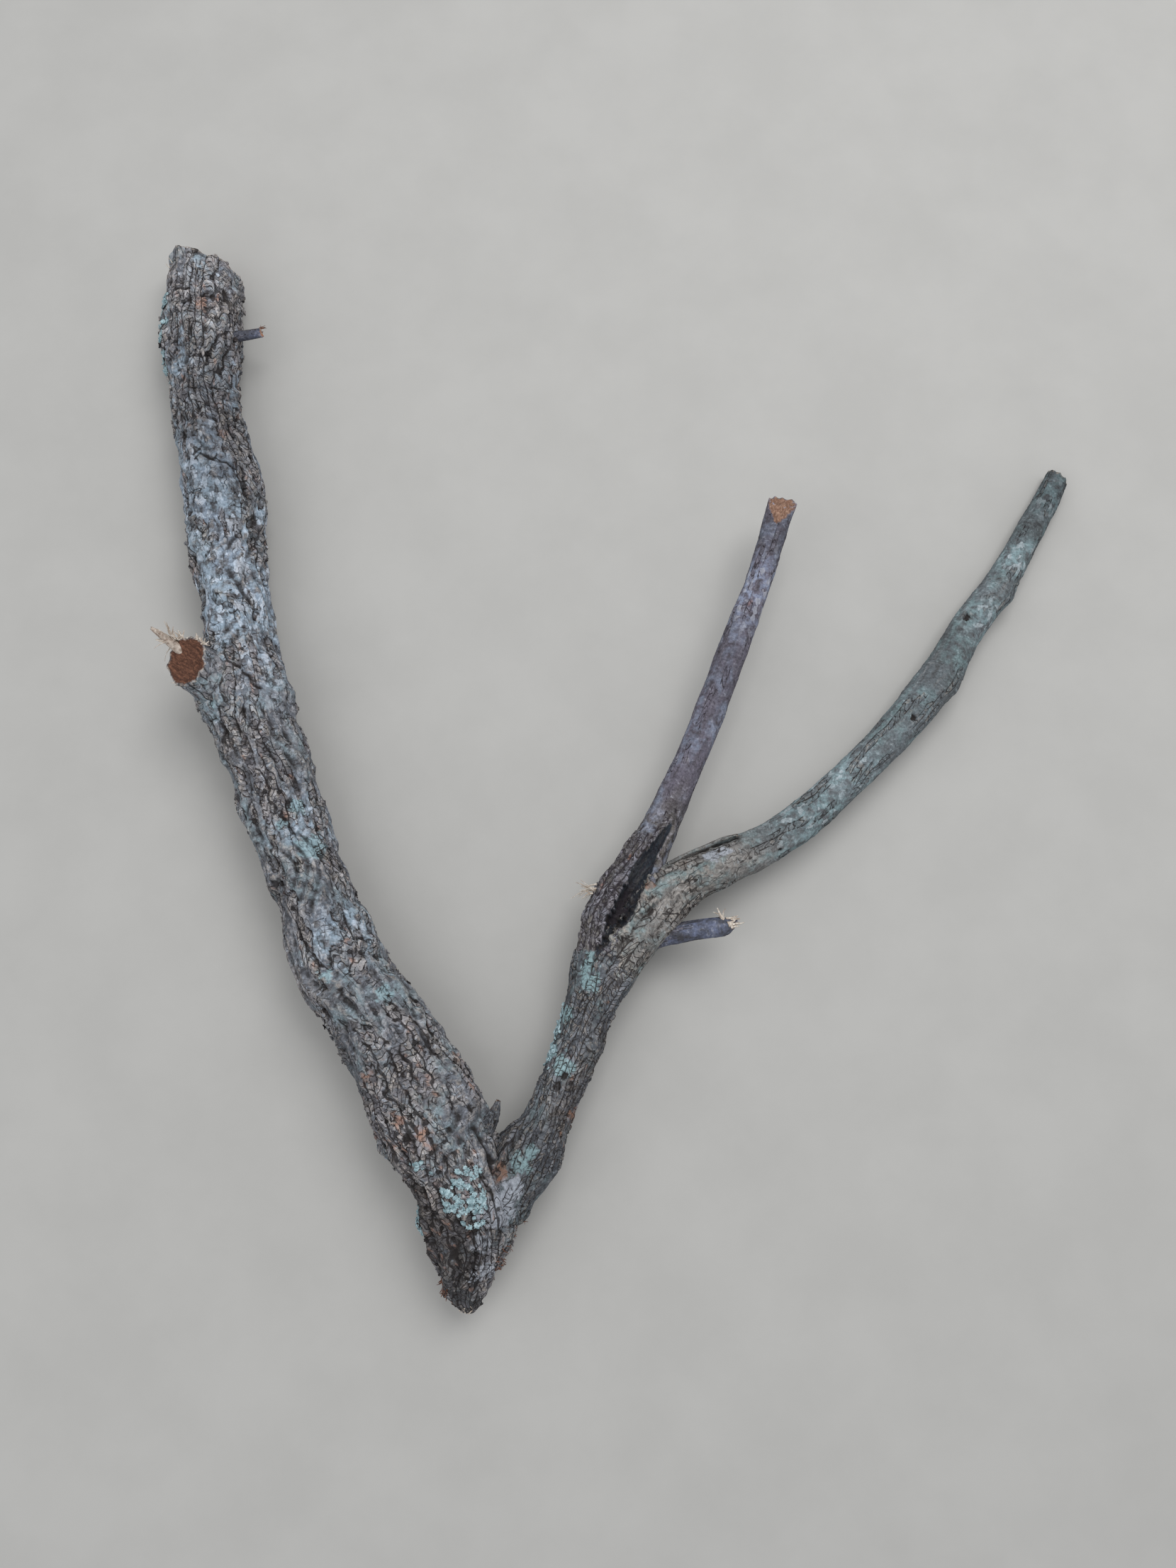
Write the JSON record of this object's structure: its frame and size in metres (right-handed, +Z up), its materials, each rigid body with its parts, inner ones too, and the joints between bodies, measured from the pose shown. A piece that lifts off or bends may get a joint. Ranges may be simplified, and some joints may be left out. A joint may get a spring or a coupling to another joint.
{
  "type": "fallen tree branch",
  "caption": "Weathered V-shaped fallen tree branch: a thick rough-barked limb with a torn butt and a snapped stub, and a side limb that forks into slender shoots; it lies on a surface.",
  "frame": {"origin": "on the surface the branch lies on, under the middle of its bounding box", "axes": "+Z up from that surface, +Y from the torn butt towards the thick limb's broken top, +X from the thick limb towards the shoots"},
  "size_m": [0.5332, 0.5974, 0.0594],
  "materials": {
    "rough_bark": "rough plated bark with lichen, matt",
    "side_limb_bark": "wrinkled bark with lichen, matt",
    "purple_grey_bark": "smooth young bark, matt",
    "green_grey_bark": "smooth young bark, matt"
  },
  "bodies": {
    "root": {"thick_limb": "rough_bark", "side_limb": "side_limb_bark", "straight_shoot": "purple_grey_bark", "curved_shoot": "green_grey_bark"}
  },
  "joints": []
}
